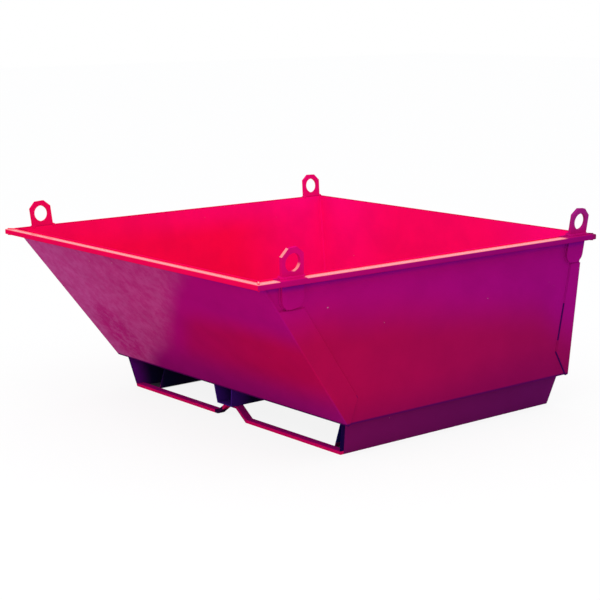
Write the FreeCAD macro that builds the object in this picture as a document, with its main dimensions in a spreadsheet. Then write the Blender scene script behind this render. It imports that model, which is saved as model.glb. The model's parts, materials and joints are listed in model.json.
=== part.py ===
import FreeCAD, Part
import os
import re
import Sketcher

# Every length is in millimetres and is named once, here
SIZES = {
    "tub_width": 1500,
    "tub_length": 1513,
    "tub_height": 546,
    "side_taper": 56,
    "front_inset": 408,
    "wall_plate": 5,
    "base_height": 124,
    "return_drop": 112,
    "front_return_width": 86,
    "front_return_foot": 14,
    "front_return_bend_height": 91,
    "back_return_top_width": 50,
    "back_return_low_width": 78,
    "back_return_foot": 10,
    "back_return_bend_height": 99,
    "side_rim_width": 40,
    "cross_rim_width": 30,
    "rim_tube_height": 20,
    "rim_tube_wall": 2,
    "rim_tube_corner": 4,
    "rim_drop": 4,
    "lug_plate": 12,
    "lug_width": 87,
    "lug_hole_diameter": 60,
    "lug_hole_rise": 47,
    "lug_crown": 48,
    "lug_chamfer_across": 26,
    "lug_chamfer_down": 24,
    "lug_reach": 153,
    "lug_end_radius": 34,
    "front_right_lug_setback": 127,
    "front_left_lug_setback": 113,
    "back_right_lug_setback": 35,
    "back_left_lug_setback": 45,
    "skirt_plate": 5,
    "skirt_inset": 37,
    "skirt_taper": 33.5,
    "skirt_rake": 20,
    "base_front_gap": 16,
    "base_back_gap": 9,
    "guide_plate": 5,
    "guide_inset": 118,
    "guide_gap": 20,
    "guide_rake": 42,
    "channel_plate": 5,
    "channel_depth": 70,
    "channel_top_span": 112,
    "channel_foot_span": 88,
    "channel_lead": 12,
    "channel_rake": 6,
    "strap_width": 30,
    "strap_thickness": 12,
    "strap_foot_span": 172,
    "strap_crown_span": 54,
    "strap_crown_shift": 8,
}

# Angles in degrees: how far each lug was welded out of square in its wall's plane
LEANS = {
    "front_right_lug_lean": 5,
    "front_left_lug_lean": -4,
    "back_right_lug_lean": -4.5,
    "back_left_lug_lean": 2,
}

# Two edges nearer than this lie in the same place
SAME_PLACE = 0.001

doc = FreeCAD.newDocument("concrete_hopper")
sheet = doc.addObject("Spreadsheet::Sheet", "Sizes")


def fill_sheet():
    rows = list(SIZES.items()) + list(LEANS.items())
    for row, (name, value) in enumerate(rows, start=1):
        sheet.set(f"A{row}", name)
        sheet.set(f"B{row}", str(value))
        sheet.setAlias(f"B{row}", name)
    doc.recompute()


def bound(formula):
    """Point every size's name in a formula at its cell in the sheet."""
    return re.sub(r"\b([a-z]+(?:_[a-z]+)+)\b", r"Sizes.\1", formula)


def value_of(formula):
    return float(sheet.evalExpression(bound(formula)))


# Formulas that several pieces share: y runs front to back, z up, the middle of the rim is x = y = 0
SLOPE = "(front_inset / tub_height)"
LEAN = "(side_taper / tub_height)"
TOP = "(base_height + tub_height)"
BACK = f"((tub_length - rim_drop * {SLOPE}) / 2)"
FRONT = f"({BACK} - tub_length)"
FRONT_SKIN = f"(wall_plate * sqrt(1 + {SLOPE} ^ 2))"
SIDE_SKIN = f"(wall_plate * sqrt(1 + {LEAN} ^ 2))"
FOOT_X = "(tub_width / 2 - side_taper)"
FOOT_Y = f"({FRONT} + front_inset)"
BASE_FRONT = f"({FOOT_Y} + base_front_gap)"
BASE_BACK = f"({BACK} - base_back_gap)"
SKIRT_X = f"({FOOT_X} - skirt_inset)"
GUIDE_X = f"({SKIRT_X} - guide_inset)"
RIM_X = f"(tub_width / 2 - rim_drop * {LEAN})"
RIM_TOP = f"({TOP} - rim_drop)"
RIM_UNDER = f"({RIM_TOP} - rim_tube_height)"
ACROSS = "(2 * tub_width)"
ALONG = "(2 * tub_length)"
UP = f"(2 * {TOP})"


def mirrored(loop):
    return [(f"-({x})", z) for x, z in loop]


def sketch_on(body, name, role):
    sketch = body.newObject("Sketcher::SketchObject", name)
    plane = [item for item in body.Origin.OriginFeatures if item.Role == role][0]
    sketch.AttachmentSupport = [(plane, "")]
    sketch.MapMode = "FlatFace"
    return sketch


def draw_loop(sketch, loop):
    """Draw a closed outline whose corners are held by formulas."""
    corners = [FreeCAD.Vector(value_of(x), value_of(y), 0) for x, y in loop]
    first = sketch.GeometryCount
    count = len(corners)
    for index in range(count):
        line = Part.LineSegment(corners[index], corners[(index + 1) % count])
        sketch.addGeometry(line, False)
    for index in range(count):
        after = first + (index + 1) % count
        sketch.addConstraint(Sketcher.Constraint("Coincident", first + index, 2, after, 1))
    for index, formulas in enumerate(loop):
        values = (corners[index].x, corners[index].y)
        for kind, formula, value in zip(("DistanceX", "DistanceY"), formulas, values):
            held = Sketcher.Constraint(kind, -1, 1, first + index, 1, value)
            number = sketch.addConstraint(held)
            sketch.setExpression(f"Constraints[{number}]", bound(formula))


def prism(name, role, loops, length):
    """Pad outlines on one origin plane, half the length to each side."""
    body = doc.addObject("PartDesign::Body", name)
    sketch = sketch_on(body, name + "_outline", role)
    for loop in loops:
        draw_loop(sketch, loop)
    pad = body.newObject("PartDesign::Pad", name + "_pad")
    pad.Profile = sketch
    pad.SideType = "Symmetric"
    pad.setExpression("Length", bound(length))
    doc.recompute()
    return body


def end_on(name, loops):
    return prism(name, "XZ_Plane", loops, ALONG)


def side_on(name, loops):
    return prism(name, "YZ_Plane", loops, ACROSS)


def from_above(name, loops):
    return prism(name, "XY_Plane", loops, UP)


def shared(name, shapes):
    """Keep only what all the given solids have in common."""
    common = doc.addObject("Part::MultiCommon", name)
    common.Shapes = shapes
    common.Refine = True
    doc.recompute()
    return common


def joined(name, shapes):
    fusion = doc.addObject("Part::MultiFuse", name)
    fusion.Shapes = shapes
    fusion.Refine = True
    doc.recompute()
    return fusion


def notched(name, base, tools):
    for number, tool in enumerate(tools, start=1):
        last = number == len(tools)
        cut = doc.addObject("Part::Cut", name if last else f"{name}_step")
        cut.Base = base
        cut.Tool = tool
        cut.Refine = True
        doc.recompute()
        base = cut
    return base


# Walls and floor
def tub_outline():
    right = [(FOOT_X, "base_height"), ("tub_width / 2", TOP)]
    left = mirrored(right)
    return [right + left[::-1]]


def outside_strip():
    """The room on the outer face of the right wall that a folded return takes up."""
    return [
        (FOOT_X, "base_height"),
        (f"{FOOT_X} + {SIDE_SKIN}", "base_height"),
        (f"tub_width / 2 + {SIDE_SKIN}", TOP),
        ("tub_width / 2", TOP),
    ]


def folded_wall(name, wall_loop, return_loop):
    sheet_piece = shared(
        name + "_sheet",
        [side_on(name + "_section", [wall_loop]), end_on(name + "_face", tub_outline())],
    )
    strips = [outside_strip(), mirrored(outside_strip())]
    returns = shared(
        name + "_returns",
        [side_on(name + "_return_side", [return_loop]), end_on(name + "_return_end", strips)],
    )
    return joined(name, [sheet_piece, returns])


def front_wall():
    drop_y = f"({FRONT} + return_drop * {SLOPE})"
    under_rim_y = f"({FRONT} + (rim_drop + rim_tube_height) * {SLOPE})"
    fold = f"(front_return_width * sqrt(1 + {SLOPE} ^ 2))"
    bend_z = "(base_height + front_return_bend_height)"
    wall = [
        (FRONT, TOP),
        (FOOT_Y, "base_height"),
        (f"{FOOT_Y} + {FRONT_SKIN}", "base_height"),
        (f"{FRONT} + {FRONT_SKIN}", TOP),
    ]
    flange = [
        (under_rim_y, RIM_UNDER),
        (FOOT_Y, "base_height"),
        (f"{FOOT_Y} + front_return_foot", "base_height"),
        (f"{FOOT_Y} - front_return_bend_height * {SLOPE} + {fold}", bend_z),
        (f"{drop_y} + {fold}", f"{TOP} - return_drop"),
        (f"{drop_y} + {FRONT_SKIN}", f"{TOP} - return_drop"),
        (f"{under_rim_y} + {FRONT_SKIN}", RIM_UNDER),
    ]
    return folded_wall("front_wall", wall, flange)


def back_wall():
    bend_z = "(base_height + back_return_bend_height)"
    wall = [
        (BACK, TOP),
        (f"{BACK} - wall_plate", TOP),
        (f"{BACK} - wall_plate", "base_height"),
        (BACK, "base_height"),
    ]
    flange = [
        (BACK, f"{TOP} - return_drop"),
        (f"{BACK} - back_return_top_width", f"{TOP} - return_drop"),
        (f"{BACK} - back_return_low_width", bend_z),
        (f"{BACK} - back_return_foot", "base_height"),
        (BACK, "base_height"),
    ]
    return folded_wall("back_wall", wall, flange)


def side_walls():
    between = [
        (f"{FRONT} + {FRONT_SKIN}", TOP),
        (f"{FOOT_Y} + {FRONT_SKIN}", "base_height"),
        (f"{BACK} - wall_plate", "base_height"),
        (f"{BACK} - wall_plate", TOP),
    ]
    strip = [
        (FOOT_X, "base_height"),
        ("tub_width / 2", TOP),
        (f"tub_width / 2 - {SIDE_SKIN}", TOP),
        (f"{FOOT_X} - {SIDE_SKIN}", "base_height"),
    ]
    pieces = []
    for name, loop in (("left_side_wall", mirrored(strip)), ("right_side_wall", strip)):
        solids = [side_on(name + "_side", [between]), end_on(name + "_end", [loop])]
        pieces.append(shared(name, solids))
    return pieces


def floor_plate():
    foot_x = f"({FOOT_X} - {SIDE_SKIN})"
    foot_y = f"({FOOT_Y} + {FRONT_SKIN})"
    above = "base_height + wall_plate"
    right = [(foot_x, "base_height"), (f"{foot_x} + wall_plate * {LEAN}", above)]
    end_loop = right + mirrored(right)[::-1]
    side_loop = [
        (foot_y, "base_height"),
        (f"{BACK} - wall_plate", "base_height"),
        (f"{BACK} - wall_plate", above),
        (f"{foot_y} - wall_plate * {SLOPE}", above),
    ]
    solids = [end_on("floor_end", [end_loop]), side_on("floor_side", [side_loop])]
    return shared("floor_plate", solids)


# Lifting lugs
def lug(name, x_side, y_formula):
    body = doc.addObject("PartDesign::Body", name)
    sketch = sketch_on(body, name + "_outline", "XY_Plane")
    half = "lug_width / 2"
    shoulder = "lug_crown - lug_chamfer_down"
    right = [
        (half, "-lug_reach"),
        (half, shoulder),
        (f"{half} - lug_chamfer_across", "lug_crown"),
    ]
    draw_loop(sketch, right + mirrored(right)[::-1])
    centre = FreeCAD.Vector(0, 0, 0)
    up = FreeCAD.Vector(0, 0, 1)
    hole = sketch.addGeometry(Part.Circle(centre, up, value_of("lug_hole_diameter") / 2), False)
    sketch.addConstraint(Sketcher.Constraint("Coincident", hole, 3, -1, 1))
    width = Sketcher.Constraint("Diameter", hole, value_of("lug_hole_diameter"))
    number = sketch.addConstraint(width)
    sketch.setExpression(f"Constraints[{number}]", "Sizes.lug_hole_diameter")
    sketch.AttachmentOffset = FreeCAD.Placement(centre, FreeCAD.Rotation(up, 1))
    sketch.setExpression("AttachmentOffset.Rotation.Angle", f"Sizes.{name.replace('lifting_', '')}_lean")
    pad = body.newObject("PartDesign::Pad", name + "_pad")
    pad.Profile = sketch
    pad.setExpression("Length", "Sizes.lug_plate")
    doc.recompute()
    fillet = body.newObject("PartDesign::Fillet", name + "_end")
    fillet.Base = (pad, lower_corners(pad.Shape))
    fillet.setExpression("Radius", "Sizes.lug_end_radius")
    place_lug(body, x_side, y_formula)
    doc.recompute()
    return body


def lower_corners(shape):
    """Names of the two straight edges through the plate at its lower end."""
    found = []
    for number, edge in enumerate(shape.Edges, start=1):
        ends = [vertex.Point for vertex in edge.Vertexes]
        upright = len(ends) == 2 and abs(ends[0].z - ends[1].z) > value_of("lug_plate") / 2
        if upright and isinstance(edge.Curve, (Part.Line, Part.LineSegment)):
            found.append((ends[0].y, f"Edge{number}"))
    return [name for _, name in sorted(found)[:2]]


def place_lug(body, x_side, y_formula):
    """Stand the lug on a side wall's outer face, leaning outward with the wall."""
    across = f"(tub_width / 2 + lug_hole_rise * sin(atan({LEAN})))"
    body.setExpression("Placement.Base.x", bound(across if x_side > 0 else f"-{across}"))
    body.setExpression("Placement.Base.y", bound(y_formula))
    body.setExpression("Placement.Base.z", bound(f"{TOP} + lug_hole_rise * cos(atan({LEAN}))"))
    turn = FreeCAD.Rotation(90 * x_side, 0, 90)
    body.Placement = FreeCAD.Placement(body.Placement.Base, turn)
    body.setExpression("Placement.Rotation.Roll", bound(f"90 deg + atan({LEAN})"))
    body.setExpression("Placement.Rotation.Yaw", f"{90 * x_side} deg")
    body.setExpression("Placement.Rotation.Pitch", "0 deg")


def lugs():
    return {
        "front_right": lug("front_right_lifting_lug", 1, f"{FRONT} + front_right_lug_setback"),
        "front_left": lug("front_left_lifting_lug", -1, f"{FRONT} + front_left_lug_setback"),
        "back_right": lug("back_right_lifting_lug", 1, f"{BACK} - back_right_lug_setback"),
        "back_left": lug("back_left_lifting_lug", -1, f"{BACK} - back_left_lug_setback"),
    }


# Rim of rectangular tube laid flat round the outside, mitred at the corners
def tube(name, draw, inner, outer, outward):
    """A long straight tube with rounded corners, between two upright faces."""
    near = f"({inner} + {outward} * rim_tube_wall)"
    far = f"({outer} - {outward} * rim_tube_wall)"
    skin = [(inner, RIM_UNDER), (outer, RIM_UNDER), (outer, RIM_TOP), (inner, RIM_TOP)]
    low = f"{RIM_UNDER} + rim_tube_wall"
    high = f"{RIM_TOP} - rim_tube_wall"
    hollow = [(near, low), (far, low), (far, high), (near, high)]
    body = draw(name, [skin, hollow])
    pad = body.Tip
    fillet = body.newObject("PartDesign::Fillet", name + "_corners")
    fillet.Base = (pad, long_corners(pad.Shape))
    fillet.setExpression("Radius", "Sizes.rim_tube_corner")
    doc.recompute()
    return body


def long_corners(shape):
    """Names of the four edges that run the tube's length at its outer corners."""
    box = shape.BoundBox
    names = []
    for number, edge in enumerate(shape.Edges, start=1):
        middle = edge.CenterOfMass
        limits = [
            min(abs(middle.x - box.XMin), abs(middle.x - box.XMax)),
            min(abs(middle.y - box.YMin), abs(middle.y - box.YMax)),
            min(abs(middle.z - box.ZMin), abs(middle.z - box.ZMax)),
        ]
        at_corner = sum(limit < SAME_PLACE for limit in limits) == 2
        if at_corner and edge.Length > value_of("tub_length"):
            names.append(f"Edge{number}")
    return names


def cross_rim(name, side):
    inner = f"({side} * {BACK})"
    outer = f"({side} * ({BACK} + cross_rim_width))"
    plan = [
        (f"-{RIM_X}", inner),
        (RIM_X, inner),
        (f"{RIM_X} + side_rim_width", outer),
        (f"-({RIM_X} + side_rim_width)", outer),
    ]
    solids = [tube(name + "_tube", side_on, inner, outer, side), from_above(name + "_plan", [plan])]
    return shared(name, solids)


def side_rim(name, side, side_lugs):
    inner = f"({side} * {RIM_X})"
    outer = f"({side} * ({RIM_X} + side_rim_width))"
    plan = [
        (inner, f"-{BACK}"),
        (outer, f"-({BACK} + cross_rim_width)"),
        (outer, f"{BACK} + cross_rim_width"),
        (inner, BACK),
    ]
    solids = [tube(name + "_tube", end_on, inner, outer, side), from_above(name + "_plan", [plan])]
    return notched(name, shared(name + "_whole", solids), side_lugs)


# Base: skirts, fork guides, middle channel and straps
def skirts():
    skin = "(skirt_plate * sqrt(1 + (skirt_taper / base_height) ^ 2))"
    foot = f"({SKIRT_X} - skirt_taper)"
    strip = [
        (foot, "0"),
        (SKIRT_X, "base_height"),
        (f"{SKIRT_X} - {skin}", "base_height"),
        (f"{foot} - {skin}", "0"),
    ]
    along = [
        (f"{BASE_FRONT} + skirt_rake", "0"),
        (f"{BASE_BACK} - skirt_rake", "0"),
        (BASE_BACK, "base_height"),
        (BASE_FRONT, "base_height"),
    ]
    pieces = []
    for name, loop in (("left_skirt", mirrored(strip)), ("right_skirt", strip)):
        solids = [end_on(name + "_end", [loop]), side_on(name + "_side", [along])]
        pieces.append(shared(name, solids))
    return pieces


def fork_guides():
    strip = [
        (f"{GUIDE_X} - guide_plate", "0"),
        (GUIDE_X, "0"),
        (GUIDE_X, "base_height"),
        (f"{GUIDE_X} - guide_plate", "base_height"),
    ]
    setback = "skirt_rake + strap_width + guide_gap"
    along = [
        (f"{BASE_FRONT} + {setback}", "0"),
        (f"{BASE_BACK} - ({setback})", "0"),
        (f"{BASE_BACK} - ({setback} + guide_rake)", "base_height"),
        (f"{BASE_FRONT} + {setback} + guide_rake", "base_height"),
    ]
    pieces = []
    for name, loop in (("left_fork_guide", mirrored(strip)), ("right_fork_guide", strip)):
        solids = [end_on(name + "_end", [loop]), side_on(name + "_side", [along])]
        pieces.append(shared(name, solids))
    return pieces


def middle_channel():
    spread = "((channel_top_span - channel_foot_span) / 2 / channel_depth)"
    skin = f"(channel_plate * sqrt(1 + {spread} ^ 2))"
    under = "(base_height - channel_depth)"
    right = [
        ("channel_foot_span / 2", under),
        ("channel_top_span / 2", "base_height"),
        (f"channel_top_span / 2 - {skin}", "base_height"),
        (f"channel_foot_span / 2 + channel_plate * {spread} - {skin}", f"{under} + channel_plate"),
    ]
    along = [
        (f"{BASE_FRONT} - channel_lead + channel_rake", under),
        (f"{BASE_BACK} + channel_lead - channel_rake", under),
        (f"{BASE_BACK} + channel_lead", "base_height"),
        (f"{BASE_FRONT} - channel_lead", "base_height"),
    ]
    solids = [end_on("channel_end", [right + mirrored(right)[::-1]]), side_on("channel_side", [along])]
    return shared("middle_channel", solids)


def strap(name, y_formula):
    """One flat bar bent down the middle channel's foot and out to both skirts."""
    skin = "(skirt_plate * sqrt(1 + (skirt_taper / base_height) ^ 2))"
    end_x = f"({SKIRT_X} - skirt_taper - {skin})"
    rise = "(base_height - channel_depth - strap_thickness)"
    run = "((strap_foot_span - strap_crown_span) / 2)"
    shift = f"(strap_thickness * tan(atan({rise} / {run}) / 2))"
    tip_x = f"({end_x} + strap_thickness * skirt_taper / base_height)"

    def half(side):
        return [
            (f"strap_crown_shift + {side} * strap_crown_span / 2", rise),
            (f"strap_crown_shift + {side} * strap_foot_span / 2", "0"),
            (f"{side} * {end_x}", "0"),
            (f"{side} * {tip_x}", "strap_thickness"),
            (f"strap_crown_shift + {side} * (strap_foot_span / 2 + {shift})", "strap_thickness"),
            (f"strap_crown_shift + {side} * (strap_crown_span / 2 + {shift})", f"{rise} + strap_thickness"),
        ]

    body = prism(name, "XZ_Plane", [half("1") + half("-1")[::-1]], "strap_width")
    body.setExpression("Placement.Base.y", bound(y_formula))
    doc.recompute()
    return body


def build():
    fill_sheet()
    hooks = lugs()
    pieces = [front_wall(), back_wall(), floor_plate(), middle_channel()]
    pieces += side_walls() + skirts() + fork_guides()
    pieces += [cross_rim("front_rim_tube", "-1"), cross_rim("back_rim_tube", "1")]
    pieces.append(side_rim("left_rim_tube", "-1", [hooks["front_left"], hooks["back_left"]]))
    pieces.append(side_rim("right_rim_tube", "1", [hooks["front_right"], hooks["back_right"]]))
    pieces.append(strap("front_fork_strap", f"{BASE_FRONT} + skirt_rake + strap_width / 2"))
    pieces.append(strap("back_fork_strap", f"{BASE_BACK} - skirt_rake - strap_width / 2"))
    return pieces + list(hooks.values())


def check_and_write(pieces):
    doc.recompute()
    for item in doc.Objects:
        if "Invalid" in item.State or "Error" in item.State:
            raise RuntimeError(f"{item.Name} did not build: {item.State}")
    os.makedirs("parts", exist_ok=True)
    for piece in pieces:
        piece.Label = piece.Name
        shape = piece.Shape
        if shape.isNull() or not shape.isValid() or len(shape.Solids) != 1:
            raise RuntimeError(f"{piece.Name} is not one valid solid")
        shape.exportStep(f"parts/{piece.Label}.step")
        box = shape.BoundBox
        print(piece.Label, f"{shape.Volume:.0f}", f"{box.XLength:.1f} {box.YLength:.1f} {box.ZLength:.1f}")


check_and_write(build())
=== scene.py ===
import json
import math

import bpy
from mathutils import Matrix, Vector


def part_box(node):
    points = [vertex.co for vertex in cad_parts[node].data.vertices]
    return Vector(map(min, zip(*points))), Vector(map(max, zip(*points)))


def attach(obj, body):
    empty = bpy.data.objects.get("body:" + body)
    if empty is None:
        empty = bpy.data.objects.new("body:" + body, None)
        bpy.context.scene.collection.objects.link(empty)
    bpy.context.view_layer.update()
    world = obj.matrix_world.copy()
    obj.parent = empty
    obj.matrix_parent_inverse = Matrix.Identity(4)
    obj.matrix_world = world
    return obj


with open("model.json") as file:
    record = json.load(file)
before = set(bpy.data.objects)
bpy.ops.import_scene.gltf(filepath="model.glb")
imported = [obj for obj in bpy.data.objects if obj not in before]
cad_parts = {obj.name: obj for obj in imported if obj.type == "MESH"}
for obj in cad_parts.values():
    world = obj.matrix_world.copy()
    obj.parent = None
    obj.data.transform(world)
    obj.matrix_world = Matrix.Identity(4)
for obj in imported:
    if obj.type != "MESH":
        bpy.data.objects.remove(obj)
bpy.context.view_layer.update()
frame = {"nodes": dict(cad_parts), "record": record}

# Camera, as the photograph was taken, in metres and degrees in the hopper's frame
EYE = Vector((4.3623, -3.5424, 1.499))
YAW_DEG = 50.74
PITCH_DEG = 11.03
ROLL_DEG = -0.37
SENSOR_MM = 36.0
LENS_MM = 90.85
CLIP_END = 100.0

# Light and floor, in metres and watts
SOFTBOX_SIDE = 3.5
SOFTBOX_WATTS = 60.0
SOFTBOX_PLACE = Vector((1.6, -2.2, 4.2))
SOFTBOX_AIM = Vector((0.0, 0.0, 0.4))
FLOOR_HALF = 30.0
WHITE = (1.0, 1.0, 1.0, 1.0)
WORLD_LIGHT = (0.96, 0.97, 1.0, 1.0)
FLOOR_BOUNCE = (0.70, 0.70, 0.72, 1.0)
FLOOR_SEEN = (0.95, 0.95, 0.95, 1.0)
FLOOR_WHITE_SHARE = 0.88

# Painted shadow: a dark strip of floor beside each fork guide, in metres
RUNNER_SHADOW = (0.02, 0.01, 0.04, 1.0)
RUNNER_SHARE = 0.9
RUNNER_BLEND = 0.01
RUNNER_SETBACK = 0.04
RUNNER_BACK = 0.35

# Weld beads, in metres; a bead's radius ripples and wanders by shares of itself
TUB_BEAD = 0.0042
RIM_BEAD = 0.0038
LUG_BEAD = 0.0042
LUG_FOOT_BEAD = 0.0070
BASE_BEAD = 0.0045
BEAD_STEP = 0.0035
BEAD_SIDES = 8
BEAD_THIN = 0.92
BEAD_RIPPLE = 0.14
BEAD_WANDER = 0.25
BEAD_WANDER_SCALE = 90.0

# How near to a wall an edge lies that takes a bead, in metres, and the decimals that corners agree to
ON_PLANE = 0.0004
DECIMALS = 5

# Enamel: reflection away from its painted highlights, the highlights' coat, and its texture
GLOSS = 0.0
CROWN_COAT = 0.8
COAT_ROUGHNESS = 0.25
ROUGHNESS_SPREAD = 0.06
ROUGHNESS_LIMITS = (0.2, 0.8)
PEEL_SCALE = 240.0
PEEL_HEIGHT = 0.4
WAVE_SCALE = 9.0
WAVE_HEIGHT = 2.0
BUMP_STRENGTH = 0.12
BUMP_DEPTH = 0.0012
CHIP_SCALE = 55.0
CHIP_LIMITS = (0.83, 0.845)
CHIP_SHARE = 0.7
MOTTLE_LIMITS = (0.3, 0.75)
MOTTLE_SHARE = 0.10
CLOUD_SCALE = 2.2
CLOUD_DETAIL = 4.0

# The hopper's own sizes, read from the frame
front_low, front_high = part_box("front_wall")
right_low, right_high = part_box("right_side_wall")
floor_low, floor_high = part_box("floor_plate")
_, back_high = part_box("back_wall")
front_rim_low, front_rim_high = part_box("front_rim_tube")
_, right_rim_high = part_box("right_rim_tube")
skirt_low, skirt_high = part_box("right_skirt")
guide_low, guide_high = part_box("right_fork_guide")
channel_low, channel_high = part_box("middle_channel")
lug_low, lug_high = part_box("back_right_lifting_lug")
near_lug_low, near_lug_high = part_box("front_right_lifting_lug")
PLATE = floor_high[2] - floor_low[2]
BASE = floor_low[2]
TOP = front_high[2]
HALF_TOP = right_high[0]
LEAN = (right_high[0] - right_low[0] - PLATE) / (TOP - BASE)
SLOPE = (floor_low[1] - right_low[1]) / (TOP - floor_high[2])
FRONT = front_low[1]
BACK = back_high[1]
FRONT_SKIN = right_low[1] - front_low[1]
RIM_TOP = front_rim_high[2]
RIM_UNDER = front_rim_low[2]
RIM_OUT_X = right_rim_high[0]
LUG_PLATE = frame["record"]["mounts"][0]["dims"]["length_mm"] / 1000


def corners(name):
    """The places of a node's corners."""
    return [vertex.co for vertex in frame["nodes"][name].data.vertices]


# How high the front strap rises, and how far out it bends up towards the channel
STRAP_RISE = max(corner.z for corner in corners("front_fork_strap"))
STRAP_BEND = max(abs(corner.x) for corner in corners("front_fork_strap") if abs(corner.x) < guide_low[0])


def skirt_front(z):
    """The skirts' raked front edge, at a height."""
    skirt = corners("right_skirt")
    foot = min(corner.y for corner in skirt if corner.z < BASE / 2)
    head = min(corner.y for corner in skirt if corner.z > BASE / 2)
    return z * ((head - foot) / BASE) + foot


def half_width(z):
    """From the middle to the outer face of a side wall, at a height."""
    return HALF_TOP - LEAN * (TOP - z)


def front_face(z):
    """Where the sloping wall's outer face lies, at a height."""
    return FRONT + SLOPE * (TOP - z)


def back_face(z):
    """Where the upright back wall's outer face lies, at any height."""
    return BACK


class Value:
    """A node's socket that Python's operators work on, adding Math nodes."""

    def __init__(self, graph, socket):
        self.graph = graph
        self.socket = socket

    def __add__(self, other):
        return self.graph.math("ADD", self, other)

    def __radd__(self, other):
        return self.graph.math("ADD", other, self)

    def __sub__(self, other):
        return self.graph.math("SUBTRACT", self, other)

    def __rsub__(self, other):
        return self.graph.math("SUBTRACT", other, self)

    def __mul__(self, other):
        return self.graph.math("MULTIPLY", self, other)

    def __rmul__(self, other):
        return self.graph.math("MULTIPLY", other, self)

    def __mod__(self, other):
        return self.graph.math("MODULO", self, other)

    def __gt__(self, other):
        return self.graph.math("GREATER_THAN", self, other)

    def __lt__(self, other):
        return self.graph.math("LESS_THAN", self, other)


class Graph:
    """A node tree, with one method that makes any of its nodes."""

    def __init__(self, tree):
        self.tree = tree

    def node(self, kind, settings=None, sockets=None, output=0):
        made = self.tree.nodes.new(kind)
        for name, value in (settings or {}).items():
            setattr(made, name, value)
        for name, value in (sockets or {}).items():
            if isinstance(value, Value):
                self.tree.links.new(value.socket, made.inputs[name])
            else:
                made.inputs[name].default_value = value
        return Value(self, made.outputs[output]) if made.outputs else made

    def math(self, operation, *values, clamp=False):
        settings = {"operation": operation, "use_clamp": clamp}
        return self.node("ShaderNodeMath", settings, dict(enumerate(values)))

    def seen_or_mirrored(self):
        """1 for what the camera sees, straight or in a reflection."""
        seen = self.node("ShaderNodeLightPath", output="Is Camera Ray")
        mirrored = self.node("ShaderNodeLightPath", output="Is Glossy Ray")
        return self.math("ADD", seen, mirrored, clamp=True)


class Shade(Graph):
    """The node tree of one material."""

    def __init__(self, name):
        self.material = bpy.data.materials.new(name)
        self.material.use_nodes = True
        super().__init__(self.material.node_tree)
        self.tree.nodes.clear()
        self.place = self.node("ShaderNodeTexCoord", output="Object")

    def xyz(self, vector=None):
        sockets = {0: vector or self.place}
        return [self.node("ShaderNodeSeparateXYZ", sockets=sockets, output=n) for n in range(3)]

    def facing(self):
        """The way the surface faces, without its bumps."""
        return self.xyz(self.node("ShaderNodeNewGeometry", output="True Normal"))

    def size(self, value):
        return self.math("ABSOLUTE", value)

    def either(self, first, second):
        return self.math("MAXIMUM", first, second)

    def noise(self, scale, detail=3.0, roughness=0.5):
        sockets = {"Vector": self.place, "Scale": scale, "Detail": detail, "Roughness": roughness}
        return self.node("ShaderNodeTexNoise", sockets=sockets)

    def cloud(self):
        """The wide, soft pattern that makes the borders of the zones uneven."""
        return self.noise(CLOUD_SCALE, CLOUD_DETAIL)

    def between(self, value, low, high, to_low=0.0, to_high=1.0):
        """A smooth step from to_low, where value is low, to to_high. A zone is (low, high), or all four."""
        settings = {"clamp": True, "interpolation_type": "SMOOTHSTEP"}
        sockets = {0: value, 1: low, 2: high, 3: to_low, 4: to_high}
        return self.node("ShaderNodeMapRange", settings, sockets)

    def mix(self, factor, first, second):
        settings = {"data_type": "RGBA", "clamp_factor": True}
        return self.node("ShaderNodeMix", settings, {0: factor, 6: first, 7: second}, output=2)

    def surface(self, shader):
        self.node("ShaderNodeOutputMaterial", sockets={"Surface": shader})
        return self.material


def linear(red, green, blue):
    """A colour read as 8-bit screen values, as Blender's linear colour."""
    def channel(value):
        share = value / 255
        return share / 12.92 if share <= 0.04045 else ((share + 0.055) / 1.055) ** 2.4

    return (channel(red), channel(green), channel(blue), 1.0)


# Painted shade along all the outer walls: a band below the rim and a dark line above the tub's underside,
# in metres
RIM_SHADE = (RIM_UNDER - 0.030, RIM_UNDER - 0.004)
FOOT_EDGE_SHADE = (BASE + 0.010, BASE + 0.003)
FOOT_EDGE_SHADE_COLOUR = linear(84, 8, 84)

# Outer sides: crimson under a border that tilts with the length and drops at both ends
SIDE_LENGTH = (-1.0, 1.0)
SIDE_CRIMSON = (0.61, 0.40)
SIDE_CRIMSON_TILT = 0.13
SIDE_CRIMSON_CLOUD = 0.08
SIDE_BACK_END = (0.50, 0.76)
SIDE_BACK_DROP = 0.09
SIDE_FRONT_FOLD = (-0.45, -0.70)
SIDE_FRONT_DROP = 0.04
# Painted shade: the sides darken towards the foot
SIDE_FOOT = (0.30, 0.12)
SIDE_FOOT_TILT = 0.05
SIDE_FOOT_CLOUD = 0.06
SIDE_FOOT_SHARE = 0.6


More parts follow.
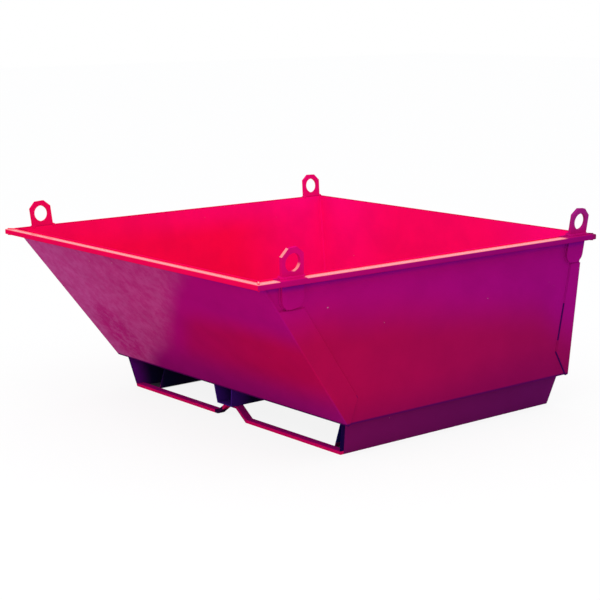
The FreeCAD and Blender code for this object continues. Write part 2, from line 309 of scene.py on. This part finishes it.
def side_colour(shade, y, z, cloud):
    """The outer sides: purple under the rim, crimson below, with painted shade at the foot, towards the
    back and under the rim.
    """
    along = shade.between(y, *SIDE_LENGTH)
    end = shade.between(y, *SIDE_BACK_END, 0.0, SIDE_BACK_DROP)
    fold = shade.between(y, *SIDE_FRONT_FOLD, 0.0, SIDE_FRONT_DROP)
    border = z + y * SIDE_CRIMSON_TILT + cloud * SIDE_CRIMSON_CLOUD
    low = shade.between(border + end + fold, *SIDE_CRIMSON)
    foot = shade.between(z + cloud * SIDE_FOOT_CLOUD - y * SIDE_FOOT_TILT, *SIDE_FOOT)
    # Painted shade: the sides darken towards the back
    high = shade.mix(along, linear(183, 9, 117), linear(158, 10, 122))
    crimson = shade.mix(along, linear(182, 11, 71), linear(152, 13, 84))
    upper = shade.mix(low, high, crimson)
    plain = shade.mix(foot * SIDE_FOOT_SHARE, upper, linear(126, 9, 80))
    # Painted shade: a band under the rim, then a dark line at the tub's foot
    shaded = shade.mix(shade.between(z, *RIM_SHADE), plain, linear(126, 8, 136))
    return shade.mix(shade.between(z, *FOOT_EDGE_SHADE), shaded, FOOT_EDGE_SHADE_COLOUR)


# Sloping wall: a grey painted reflection whose border leans over going up, and a crimson band beside it
GREY_ZONE = (-0.425, -0.60)
GREY_LEAN = 1.39
GREY_CLOUD = 0.16
GREY_FOOT = (0.27, 0.14)
GREY_FOOT_STEP = 0.04
GREY_PALER = (-0.1, -0.7)
GREY_SPECKLE_SCALE = 26.0
GREY_SPECKLE_DETAIL = 6.0
GREY_SPECKLE_ROUGHNESS = 0.75
GREY_SPOTS = (0.35, 0.65)
PATCH_X = -0.53
PATCH_Z = 0.25
PATCH_HEIGHT_SCALE = 0.8
PATCH_SQUARED_RADII = (0.020, 0.002)
PATCH_SHARE = 0.8
PATCH_SPECKLE = (0.62, 0.42, 0.3, 1.0)
FRONT_CRIMSON = (0.54, 0.42)
FRONT_CRIMSON_CLOUD = 0.05
FRONT_CRIMSON_LEFT = (-0.45, -0.30, 0.2, 1.0)
# Painted shade: the sloping wall darkens towards its foot
FRONT_FOOT = (0.34, 0.16)
FRONT_FOOT_CLOUD = 0.04
FRONT_NEAR = (-0.5, 0.6)
FRONT_RIM_SHADE = (0.0, 0.6, 0.0, 0.7)


def painted_reflection_colour(shade, x, z):
    """The grey painted reflection's colour: speckled, paler to the left, with one clearer patch."""
    paler = shade.between(x, *GREY_PALER)
    speckle = shade.noise(GREY_SPECKLE_SCALE, GREY_SPECKLE_DETAIL, GREY_SPECKLE_ROUGHNESS)
    spots = shade.between(speckle, *GREY_SPOTS)
    mottled = shade.mix(spots, linear(187, 44, 120), linear(195, 68, 136))
    pale = shade.mix(spots, linear(190, 60, 132), linear(197, 80, 147))
    grey = shade.mix(paler, mottled, pale)
    beside = x - PATCH_X
    above = (z - PATCH_Z) * PATCH_HEIGHT_SCALE
    patch = shade.between(beside * beside + above * above, *PATCH_SQUARED_RADII, 0.0, PATCH_SHARE)
    patch = patch * shade.between(speckle, *PATCH_SPECKLE)
    return shade.mix(patch, grey, linear(184, 18, 114))


def front_colour(shade, x, z, cloud):
    """The sloping wall: a grey painted reflection on its left, a crimson band, and painted shade at the
    foot and under the rim.
    """
    across = x - z * GREY_LEAN + cloud * GREY_CLOUD + shade.between(z, *GREY_FOOT, 0.0, GREY_FOOT_STEP)
    low = shade.between(z + cloud * FRONT_CRIMSON_CLOUD, *FRONT_CRIMSON)
    low = low * shade.between(across, *FRONT_CRIMSON_LEFT)
    foot = shade.between(z + cloud * FRONT_FOOT_CLOUD, *FRONT_FOOT)
    crimson = shade.mix(shade.between(x, *FRONT_NEAR), linear(174, 11, 104), linear(188, 10, 77))
    band = shade.mix(low, linear(178, 10, 116), crimson)
    right = shade.mix(foot, band, linear(158, 14, 112))
    # Painted reflection: the grey zone on the wall's left
    plain = shade.mix(shade.between(across, *GREY_ZONE), right, painted_reflection_colour(shade, x, z))
    # Painted shade: a band under the rim towards the right, then a dark line at the tub's foot
    rim_shade = shade.between(z, *RIM_SHADE) * shade.between(x, *FRONT_RIM_SHADE)
    shaded = shade.mix(rim_shade, plain, linear(138, 8, 136))
    return shade.mix(shade.between(z, *FOOT_EDGE_SHADE), shaded, FOOT_EDGE_SHADE_COLOUR)


# Inside of the tub: where its pinker zones lie, in metres
INSIDE_BACK_FROM = 0.2
INSIDE_MIDDLE = (0.65, 0.2)
INSIDE_MIDDLE_SHARE = 0.5
INSIDE_TOP = (0.54, 0.66)
INSIDE_TOP_SHARE = 0.6
INSIDE_TOP_ALONG = (-0.5, 0.3, 0.3, 1.0)
RIM_LEVEL_SLACK = 0.002
FAR_EDGE = 0.67
FAR_EDGE_DEPTH = 0.001


def inner_colour(shade, x, y, z):
    """The inside: pinker at its top edge and towards the back wall's ends."""
    at_back = shade.between(y, INSIDE_BACK_FROM, BACK)
    middle = shade.between(shade.size(x), *INSIDE_MIDDLE)
    pink = shade.between(z, *INSIDE_TOP) * INSIDE_TOP_SHARE * shade.between(y, *INSIDE_TOP_ALONG)
    pink = pink + at_back * (1.0 - middle * INSIDE_MIDDLE_SHARE - pink)
    return shade.mix(pink, linear(242, 8, 79), linear(252, 9, 131))


def tub_paint():
    """Crimson inside the tub; its outer faces take painted shade, deeper and more magenta."""
    shade = Shade("tub_enamel")
    x, y, z = shade.xyz()
    half = PLATE / 2
    depth_side = half_width(z) - shade.size(x)
    depth_front = y - front_face(z)
    depth_back = BACK - y
    within = (depth_side > half) * (depth_front > half) * (depth_back > half) * (z > BASE + half)
    # Above the rim's top the outer faces take the inside's colour, painted as lit
    inside = shade.either(within, z > RIM_TOP - RIM_LEVEL_SLACK)
    cloud = shade.cloud()
    side = side_colour(shade, y, z, cloud)
    front = front_colour(shade, x, z, cloud)
    # Outer faces: a painted-shade copy of the crimson
    shaded_outer = shade.mix(depth_front < PLATE, side, front)
    walls = shade.mix(inside, shaded_outer, inner_colour(shade, x, y, z))
    far_edge = (shade.either(y, x * -1.0) > FAR_EDGE) * (z > TOP - FAR_EDGE_DEPTH)
    colour = shade.mix(far_edge, walls, linear(186, 6, 66))
    return finish(shade, colour, roughness=0.42)


def finish(shade, colour, roughness, painted_highlight=None):
    """Brushed enamel with a faint mottle, a few chips, and a painted highlight with a glossy coat where one
    is given.
    """
    peel = shade.noise(PEEL_SCALE, detail=2.0)
    waves = shade.noise(WAVE_SCALE)
    chips = shade.between(shade.noise(CHIP_SCALE, detail=1.0, roughness=0.3), *CHIP_LIMITS)
    mottle = shade.between(waves, *MOTTLE_LIMITS, 0.0, MOTTLE_SHARE)
    colour = shade.mix(mottle, colour, linear(90, 4, 60))
    colour = shade.mix(chips * CHIP_SHARE, colour, linear(205, 150, 165))
    coat = 0.0
    if painted_highlight is not None:
        # Painted highlight: a pale pink on the faces that catch the light
        colour = shade.mix(painted_highlight, colour, linear(255, 128, 134))
        coat = painted_highlight * CROWN_COAT
    bump = shade.node("ShaderNodeBump", sockets={
        "Strength": BUMP_STRENGTH,
        "Distance": BUMP_DEPTH,
        "Height": peel * PEEL_HEIGHT + waves * WAVE_HEIGHT,
    })
    spread = (roughness - ROUGHNESS_SPREAD, roughness + ROUGHNESS_SPREAD)
    rough = shade.between(waves, *ROUGHNESS_LIMITS, *spread)
    sockets = {
        "Base Color": colour,
        "Roughness": rough,
        "Specular IOR Level": GLOSS,
        "Coat Weight": coat,
        "Coat Roughness": COAT_ROUGHNESS,
        "Normal": bump,
    }
    return shade.surface(shade.node("ShaderNodeBsdfPrincipled", sockets=sockets))


# End walls' flange seams: heights of the open gaps, painted as shade, in metres
BACK_GAP_FOOT = 0.268
BACK_GAP_HEAD = 0.410
LOW_GAP_HEAD = 0.225


def lap_paint():
    """The end walls' flange seams: painted shade of open gaps low down, flush welds above."""
    shade = Shade("lap_enamel")
    _, y, z = shade.xyz()
    back_gap = (y > 0.0) * (z > BACK_GAP_FOOT) * (z < BACK_GAP_HEAD)
    # Painted shade where the flange stands open from the side wall
    gap_shade = shade.either(back_gap, z < LOW_GAP_HEAD)
    plain = side_colour(shade, y, z, shade.cloud())
    return finish(shade, shade.mix(gap_shade, plain, linear(64, 6, 84)), roughness=0.45)


# Rim: its zones, in metres, and how far up its painted highlight faces
RIM_FACE_SCALE = 14.0
RIM_FLANK_EDGE = (RIM_OUT_X - 0.004, RIM_OUT_X - 0.001)
RIM_FLANK_LENGTH = (-0.8, 0.3)
BESIDE_LUG_FRONT = near_lug_low[1] - 0.022
BESIDE_LUG_BACK = near_lug_high[1] - 0.012
RIM_BACK_END = (lug_low[1] - 0.06, lug_low[1] - 0.03)
RIM_WALL_LINE = half_width(RIM_TOP)
RIM_WALL_SLACK = 0.004
CROWN_SETBACK = 0.006
CROWN_ABOVE_UNDER = 0.010
CROWN_TILT = (0.35, 0.7)


def rim_paint():
    """Painted light and shade: lit crimson in front, shaded purple on the flanks, and a painted highlight
    along the top where the light lies.
    """
    shade = Shade("rim_enamel")
    x, y, z = shade.xyz()
    side = shade.between(shade.size(x), *RIM_FLANK_EDGE)
    # Painted light and shade: a lit crimson front face and shaded purple flanks, darker to the back
    face = shade.mix(shade.noise(RIM_FACE_SCALE), linear(246, 6, 74), linear(234, 7, 86))
    shaded_flank = shade.mix(shade.between(y, *RIM_FLANK_LENGTH), linear(188, 7, 104), linear(150, 8, 108))
    colour = shade.mix(side, face, shaded_flank)
    at_lug = (x > 0.0) * (y > BESIDE_LUG_FRONT) * (y < BESIDE_LUG_BACK)
    behind = (x > RIM_WALL_LINE - RIM_WALL_SLACK) * shade.between(y, *RIM_BACK_END)
    colour = shade.mix(at_lug * (1.0 - side), colour, linear(208, 8, 106))
    colour = shade.mix(behind * (1.0 - side), colour, linear(176, 12, 104))
    tip = (x > RIM_WALL_LINE) * (y > lug_high[1])
    colour = shade.mix(tip, colour, linear(138, 16, 90))
    # Painted highlight on the upward faces of the rim's top
    beyond_front = y < front_face(RIM_TOP) - CROWN_SETBACK
    beyond_side = (x > RIM_WALL_LINE + CROWN_SETBACK) * (1.0 - at_lug) * (1.0 - behind)
    upward = shade.between(shade.facing()[2], *CROWN_TILT)
    painted_highlight = shade.either(beyond_front, beyond_side) * upward * (z > RIM_UNDER + CROWN_ABOVE_UNDER)
    return finish(shade, colour, roughness=0.34, painted_highlight=painted_highlight)


# Lifting lugs: heights in metres, how far their painted highlights face up, and how far their painted-light
# front edges face forwards
LUG_DARKER = (RIM_TOP, RIM_TOP + 0.06)
LUG_CROWN_FROM = RIM_TOP + 0.012
LUG_FRONT_EDGE = (-0.5, -0.9)
LUG_BEVEL = (1.08, 1.34)


def lug_paint():
    """Crimson to purple plates; only the nearest one has painted highlights on its upturned edges, and the
    front edges below the rim are painted lighter against their shade.
    """
    shade = Shade("lug_enamel")
    x, y, z = shade.xyz()
    facing = shade.facing()
    front_pair = shade.mix(x > 0.0, linear(228, 9, 88), linear(218, 8, 110))
    back_right = shade.mix(shade.between(z, *LUG_DARKER), linear(186, 11, 112), linear(158, 30, 122))
    back_pair = shade.mix(x > 0.0, linear(232, 12, 114), back_right)
    colour = shade.mix(y > 0.0, front_pair, back_pair)
    # Painted light: front-facing edges below the rim, lighter to hide their shade
    painted_light_edge = shade.between(facing[1], *LUG_FRONT_EDGE) * (y < 0.0)
    below_rim = shade.mix(painted_light_edge, side_colour(shade, y, z, shade.cloud()), linear(200, 9, 126))
    colour = shade.mix(z < RIM_UNDER, colour, below_rim)
    # Painted highlight on the nearest lug's upturned bevels and hole
    bevel = shade.between(facing[2] - facing[1], *LUG_BEVEL)
    painted_highlight = bevel * (z > LUG_CROWN_FROM) * (x > 0.0) * (y < 0.0)
    return finish(shade, colour, roughness=0.38, painted_highlight=painted_highlight)


# Base: the painted shade inside the skirts, and the skirts' front ends in painted shade above bright toes,
# in metres
SKIRT_LENGTH = (-1.0, 1.0)
SKIRT_SKIN = 0.002
UNDER_FROM = 0.014
INWARD_LIMIT = -0.05
LIP = (skirt_low[1] + 0.10, skirt_low[1] + 0.02)
LIP_DARK_LEFT = -0.3
HIDDEN_RIGHT = 0.3
SKIRT_END_WIDTH = 0.014
SKIRT_TOE_HEIGHT = 0.013


def base_paint():
    """Purple skirts outside, with black-blue painted shade under the tub and a dark painted-shade strip at
    each skirt's front end.
    """
    shade = Shade("base_enamel")
    x, y, z = shade.xyz()
    # Painted shade: black-blue on the faces under the tub, lighter near the skirts' front lips
    inward = (shade.facing()[0] * x) < INWARD_LIMIT
    under = (shade.size(x) < skirt_low[0] - SKIRT_SKIN) * (z > UNDER_FROM)
    lip = shade.between(y, *LIP)
    edge = shade.mix(x > LIP_DARK_LEFT, linear(112, 14, 138), linear(66, 26, 124))
    painted_under_shade = shade.mix(lip, linear(24, 22, 60), edge)
    painted_under_shade = shade.mix(x > HIDDEN_RIGHT, painted_under_shade, linear(24, 24, 112))
    skirt = shade.mix(shade.between(y, *SKIRT_LENGTH), linear(133, 19, 92), linear(104, 19, 92))
    # Painted shade: a dark strip at each skirt's front end, above a bright crimson toe
    end = y < skirt_front(z) + SKIRT_END_WIDTH
    skirt = shade.mix(end, skirt, linear(16, 8, 62))
    skirt = shade.mix(end * (z < SKIRT_TOE_HEIGHT), skirt, linear(226, 9, 98))
    colour = shade.mix(shade.either(under, inward), skirt, painted_under_shade)
    return finish(shade, colour, roughness=0.45)


# Fork straps: where painted shade darkens them, in metres, and how far up their tops face
STRAP_FACE_SCALE = 12.0
STRAP_TILT = (0.5, 0.9)
LEFT_BEND_START = 0.002
LEFT_BEND_END = 0.050
LEFT_BEND_RISE_SHARE = 0.6
RIGHT_BEND_SHARE = 0.5


def strap_paint():
    """Crimson bars, lit in front, with painted shade on top and where they rise to the channel."""
    shade = Shade("strap_enamel")
    x, _, z = shade.xyz()
    face = shade.mix(shade.noise(STRAP_FACE_SCALE), linear(242, 9, 100), linear(216, 9, 104))
    # Painted shade on the tops, under the tub
    shaded_top = shade.mix(shade.between(shade.facing()[2], *STRAP_TILT), face, linear(196, 13, 136))
    # Painted shade on the bends where the straps rise to the channel
    left_bend = (x > -STRAP_BEND + LEFT_BEND_START) * (x < -STRAP_BEND + LEFT_BEND_END)
    left_bend = left_bend * (z < STRAP_RISE * LEFT_BEND_RISE_SHARE)
    right_bend = (x > 0.0) * (x < STRAP_BEND) * RIGHT_BEND_SHARE
    shaded_bends = shade.mix(left_bend, shaded_top, linear(52, 10, 60))
    shaded_bends = shade.mix(right_bend, shaded_bends, linear(150, 9, 104))
    return finish(shade, shaded_bends, roughness=0.45)


# Weld beads
BEAD_PORTS = {
    "Wire": "NodeSocketGeometry",
    "Radius": "NodeSocketFloat",
    "Step": "NodeSocketFloat",
    "Wander": "NodeSocketFloat",
    "Seed": "NodeSocketInt",
    "Paint": "NodeSocketMaterial",
}


def bead_tree():
    """Geometry Nodes that turn a wire into a rippled bead, and its inputs' identifiers."""
    tree = bpy.data.node_groups.new("weld_bead", "GeometryNodeTree")
    ports = {}
    for name, kind in BEAD_PORTS.items():
        ports[name] = tree.interface.new_socket(name, in_out="INPUT", socket_type=kind).identifier
    tree.interface.new_socket("Bead", in_out="OUTPUT", socket_type="NodeSocketGeometry")
    graph = Graph(tree)
    given = {name: graph.node("NodeGroupInput", output=name) for name in ports}
    wire = graph.node("GeometryNodeMeshToCurve", sockets={"Mesh": given["Wire"]})
    sockets = {"Curve": wire, "Length": given["Step"]}
    stepped = graph.node("GeometryNodeResampleCurve", {"mode": "LENGTH"}, sockets)
    ripple = graph.node("GeometryNodeInputIndex") % 2.0
    noise = graph.node("ShaderNodeTexNoise", {"noise_dimensions": "4D"}, {
        "Vector": graph.node("GeometryNodeInputPosition"),
        "W": given["Seed"],
        "Scale": BEAD_WANDER_SCALE,
        "Detail": 2.0,
    })
    thickness = BEAD_THIN + ripple * BEAD_RIPPLE + (noise - 0.5) * given["Wander"]
    sockets = {"Resolution": BEAD_SIDES, "Radius": given["Radius"]}
    ring = graph.node("GeometryNodeCurvePrimitiveCircle", sockets=sockets)
    sockets = {"Curve": stepped, "Profile Curve": ring, "Scale": thickness, "Fill Caps": True}
    tube = graph.node("GeometryNodeCurveToMesh", sockets=sockets)
    real = graph.node("GeometryNodeRealizeInstances", sockets={"Geometry": tube})
    smooth = graph.node("GeometryNodeSetShadeSmooth", sockets={"Geometry": real})
    sockets = {"Geometry": smooth, "Material": given["Paint"]}
    painted = graph.node("GeometryNodeSetMaterial", sockets=sockets)
    graph.node("NodeGroupOutput", sockets={0: painted})
    return tree, ports


def rounded(point):
    return tuple(round(value, DECIMALS) for value in point)


def wire_mesh(name, paths):
    """Edges along the given paths, joined where their points meet."""
    numbers = {}
    edges = []
    for path in paths:
        run = [numbers.setdefault(rounded(point), len(numbers)) for point in path]
        edges += [pair for pair in zip(run, run[1:]) if pair[0] != pair[1]]
    mesh = bpy.data.meshes.new(name)
    mesh.from_pydata(list(numbers), edges, [])
    return mesh


def weld(bead, name, paths, radius, paint, seed):
    """One plain mesh of beads along the given paths."""
    tree, ports = bead
    wire = bpy.data.objects.new(name + "_wire", wire_mesh(name + "_wire", paths))
    bpy.context.scene.collection.objects.link(wire)
    modifier = wire.modifiers.new("bead", "NODES")
    modifier.node_group = tree
    values = {"Radius": radius, "Step": BEAD_STEP, "Wander": BEAD_WANDER, "Seed": seed, "Paint": paint}
    for label, value in values.items():
        modifier[ports[label]] = value
    view = bpy.context.evaluated_depsgraph_get()
    mesh = bpy.data.meshes.new_from_object(wire.evaluated_get(view), depsgraph=view)
    piece = bpy.data.objects.new(name, mesh)
    bpy.context.scene.collection.objects.link(piece)
    bpy.data.objects.remove(wire)
    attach(piece, "root")


def both_sides(path):
    """A path on the right and its mirror image on the left."""
    return [path, [(-x, y, z) for x, y, z in path]]


def tub_paths():
    """Inside corners and the seam round the floor plate."""
    floor = floor_high[2]
    lip = TOP - TUB_BEAD
    skin = PLATE * math.sqrt(1 + LEAN ** 2)
    back = BACK - PLATE

    def corner(z, y):
        return (half_width(z) - skin, y, z)

    front_low_corner = corner(floor, front_face(floor) + FRONT_SKIN)
    front_high_corner = corner(lip, front_face(lip) + FRONT_SKIN)
    back_low_corner = corner(floor, back)
    paths = both_sides([front_high_corner, front_low_corner, back_low_corner, corner(lip, back)])
    for end in (front_low_corner, back_low_corner):
        paths.append([end, (-end[0], end[1], end[2])])
    return paths


def rim_paths():
    """The rim tube's seams to the walls and its mitres."""
    under_x = half_width(RIM_UNDER)
    top_x = half_width(RIM_TOP)
    front = front_face(RIM_TOP)
    mitre_x = RIM_OUT_X - 2 * RIM_BEAD
    mitre_y = -front_rim_low[1] - 2 * RIM_BEAD
    paths = both_sides([(under_x, front_rim_high[1], RIM_UNDER), (under_x, BACK, RIM_UNDER)])
    paths.append([(-under_x, BACK, RIM_UNDER), (under_x, BACK, RIM_UNDER)])
    paths += both_sides([(top_x, front, RIM_TOP), (top_x, BACK, RIM_TOP)])
    paths += [[(-top_x, y, RIM_TOP), (top_x, y, RIM_TOP)] for y in (front, BACK)]
    for z in (RIM_TOP, RIM_UNDER):
        for inner_y, outer_y in ((front, -mitre_y), (BACK, mitre_y)):
            paths += both_sides([(top_x, inner_y, z), (mitre_x, outer_y, z)])
    return paths


def edges_on_wall(name, side):
    """Free edges of the faces that lie against a side wall's outer face."""
    node = frame["nodes"][name]
    normal = Vector((side, 0.0, -LEAN)).normalized()
    foot = Vector((side * half_width(BASE), 0.0, BASE))
    places = [node.matrix_world @ vertex.co for vertex in node.data.vertices]
    lying = [abs((place - foot).dot(normal)) < ON_PLANE and place.x * side > 0 for place in places]
    counts = {}
    for polygon in node.data.polygons:
        ring = list(polygon.vertices)
        if not all(lying[index] for index in ring):
            continue
        for a, b in zip(ring, ring[1:] + ring[:1]):
            ends = tuple(sorted((rounded(places[a]), rounded(places[b]))))
            counts[ends] = counts.get(ends, 0) + 1
    return [ends for ends, count in counts.items() if count == 1]


def cut_at(edge, height):
    """The point where an edge passes a height."""
    a, b = (Vector(end) for end in edge)
    return tuple(a.lerp(b, (height - a.z) / (b.z - a.z)))


def lug_names():
    """Each lug's name, with 1 for the right side or -1 for the left."""
    return [(name, 1 if "right" in name else -1) for name in frame["nodes"] if name.endswith("lifting_lug")]


def lug_paths():
    """Round the part of each lug that lies on its side wall, below the rim."""
    paths = []
    for name, side in lug_names():
        for edge in edges_on_wall(name, side):
            high = [end for end in edge if end[2] > RIM_UNDER]
            low = [end for end in edge if end[2] <= RIM_UNDER]
            if len(low) == 2:
                paths.append(edge)
            elif len(high) == 1:
                paths.append((low[0], cut_at(edge, RIM_UNDER)))
    return paths


def lug_foot_paths():
    """Round each lug where it stands up from the rim and the wall's top edge."""
    paths = []
    for name, side in lug_names():
        outer_ends = []
        for edge in edges_on_wall(name, side):
            if (edge[0][2] - RIM_TOP) * (edge[1][2] - RIM_TOP) < 0:
                x, y, _ = cut_at(edge, RIM_TOP)
                outer_ends.append((x + side * LUG_PLATE, y, RIM_TOP))
                paths.append([(x - side * PLATE, y, TOP), outer_ends[-1]])
        paths.append(outer_ends)
    return paths


def lap_paths():
    """The edges of the end walls' flanges, lapped over the side walls."""
    paths = []
    for name, fold in (("front_wall", front_face), ("back_wall", back_face)):
        for side in (1, -1):
            for edge in edges_on_wall(name, side):
                low_enough = all(z < RIM_UNDER + ON_PLANE for _, _, z in edge)
                if low_enough and any(abs(y - fold(z)) > PLATE for _, y, z in edge):
                    paths.append(edge)
    return paths


def base_paths():
    """Where the skirts, guides and channel meet the floor."""
    paths = []
    for low, high in ((skirt_low, skirt_high), (guide_low, guide_high), (channel_low, channel_high)):
        paths += both_sides([(high[0], low[1] + BASE_BEAD, BASE), (high[0], high[1] - BASE_BEAD, BASE)])
    return paths


# Stage
def make_camera():
    camera = bpy.data.cameras.new("photo_camera")
    camera.sensor_width = SENSOR_MM
    camera.lens = LENS_MM
    camera.clip_end = CLIP_END
    eye = bpy.data.objects.new("photo_camera", camera)
    bpy.context.scene.collection.objects.link(eye)
    yaw = math.radians(YAW_DEG)
    pitch = math.radians(PITCH_DEG)
    roll = math.radians(ROLL_DEG)
    forward = Vector((-math.cos(pitch) * math.sin(yaw), math.cos(pitch) * math.cos(yaw), -math.sin(pitch)))
    level = Vector((math.cos(yaw), math.sin(yaw), 0.0))
    upright = level.cross(forward)
    right = math.cos(roll) * level + math.sin(roll) * upright
    up = -math.sin(roll) * level + math.cos(roll) * upright
    eye.matrix_world = Matrix((
        (right.x, up.x, -forward.x, EYE.x),
        (right.y, up.y, -forward.y, EYE.y),
        (right.z, up.z, -forward.z, EYE.z),
        (0.0, 0.0, 0.0, 1.0),
    ))
    bpy.context.scene.camera = eye


def make_floor():
    """A white floor that keeps the hopper's shadow, with a painted shadow beside the fork guides."""
    mesh = bpy.data.meshes.new("studio_floor")
    square = [(x * FLOOR_HALF, y * FLOOR_HALF, 0) for x, y in ((-1, -1), (1, -1), (1, 1), (-1, 1))]
    mesh.from_pydata(square, [], [(0, 1, 2, 3)])
    floor = bpy.data.objects.new("studio_floor", mesh)
    bpy.context.scene.collection.objects.link(floor)
    shade = Shade("studio_floor")
    x, y, _ = shade.xyz()
    shown = shade.seen_or_mirrored()
    white = shade.node("ShaderNodeEmission", sockets={"Color": WHITE, "Strength": 1.0})
    across = shade.size(x)
    beside_guide = shade.between(across, guide_low[0] - RUNNER_BLEND, guide_high[0])
    # Painted shadow on the floor between each skirt and its fork guide
    runner_shadow = beside_guide * (across < skirt_low[0])
    runner_shadow = runner_shadow * (y > skirt_low[1] + RUNNER_SETBACK) * (y < RUNNER_BACK)
    pale = shade.mix(shown, FLOOR_BOUNCE, FLOOR_SEEN)
    pale = shade.mix(runner_shadow * RUNNER_SHARE, pale, RUNNER_SHADOW)
    matt = shade.node("ShaderNodeBsdfDiffuse", sockets={"Color": pale})
    share = shown * (FLOOR_WHITE_SHARE - runner_shadow * FLOOR_WHITE_SHARE)
    mixed = shade.node("ShaderNodeMixShader", sockets={0: share, 1: matt, 2: white})
    floor.data.materials.append(shade.surface(mixed))


def make_light():
    """Even light from all round and a softbox over the hopper's near corner."""
    world = bpy.data.worlds.new("studio")
    bpy.context.scene.world = world
    world.use_nodes = True
    graph = Graph(world.node_tree)
    graph.tree.nodes.clear()
    shown = graph.seen_or_mirrored()
    lit = graph.node("ShaderNodeBackground", sockets={"Color": WORLD_LIGHT, "Strength": 1.0})
    white = graph.node("ShaderNodeBackground", sockets={"Color": WHITE, "Strength": 1.0})
    mixed = graph.node("ShaderNodeMixShader", sockets={0: shown, 1: lit, 2: white})
    graph.node("ShaderNodeOutputWorld", sockets={"Surface": mixed})
    lamp = bpy.data.lights.new("softbox", "AREA")
    lamp.shape = "SQUARE"
    lamp.size = SOFTBOX_SIDE
    lamp.energy = SOFTBOX_WATTS
    box = bpy.data.objects.new("softbox", lamp)
    bpy.context.scene.collection.objects.link(box)
    box.location = SOFTBOX_PLACE
    box.rotation_euler = (SOFTBOX_AIM - SOFTBOX_PLACE).to_track_quat("-Z", "Y").to_euler()


def paint_nodes(paints, plain):
    """Give each CAD node the paint whose word its name holds, or else the plain one."""
    for name, node in frame["nodes"].items():
        chosen = [paint for word, paint in paints.items() if word in name]
        node.data.materials.clear()
        node.data.materials.append(chosen[0] if chosen else plain)


bpy.context.scene.view_settings.view_transform = "Standard"
tub = tub_paint()
lap = lap_paint()
rim = rim_paint()
lug = lug_paint()
base = base_paint()
strap = strap_paint()
paint_nodes(
    {"rim_tube": rim, "lifting_lug": lug, "skirt": base, "guide": base, "channel": base, "strap": strap},
    plain=tub,
)
bead = bead_tree()
weld(bead, "tub_seams", tub_paths(), TUB_BEAD, tub, seed=1)
weld(bead, "rim_seams", rim_paths(), RIM_BEAD, rim, seed=2)
weld(bead, "lug_seams", lug_paths(), LUG_BEAD, lug, seed=3)
weld(bead, "lug_foot_seams", lug_foot_paths(), LUG_FOOT_BEAD, lug, seed=6)
weld(bead, "lap_seams", lap_paths(), RIM_BEAD, lap, seed=4)
weld(bead, "base_seams", base_paths(), BASE_BEAD, base, seed=5)
make_camera()
make_floor()
make_light()
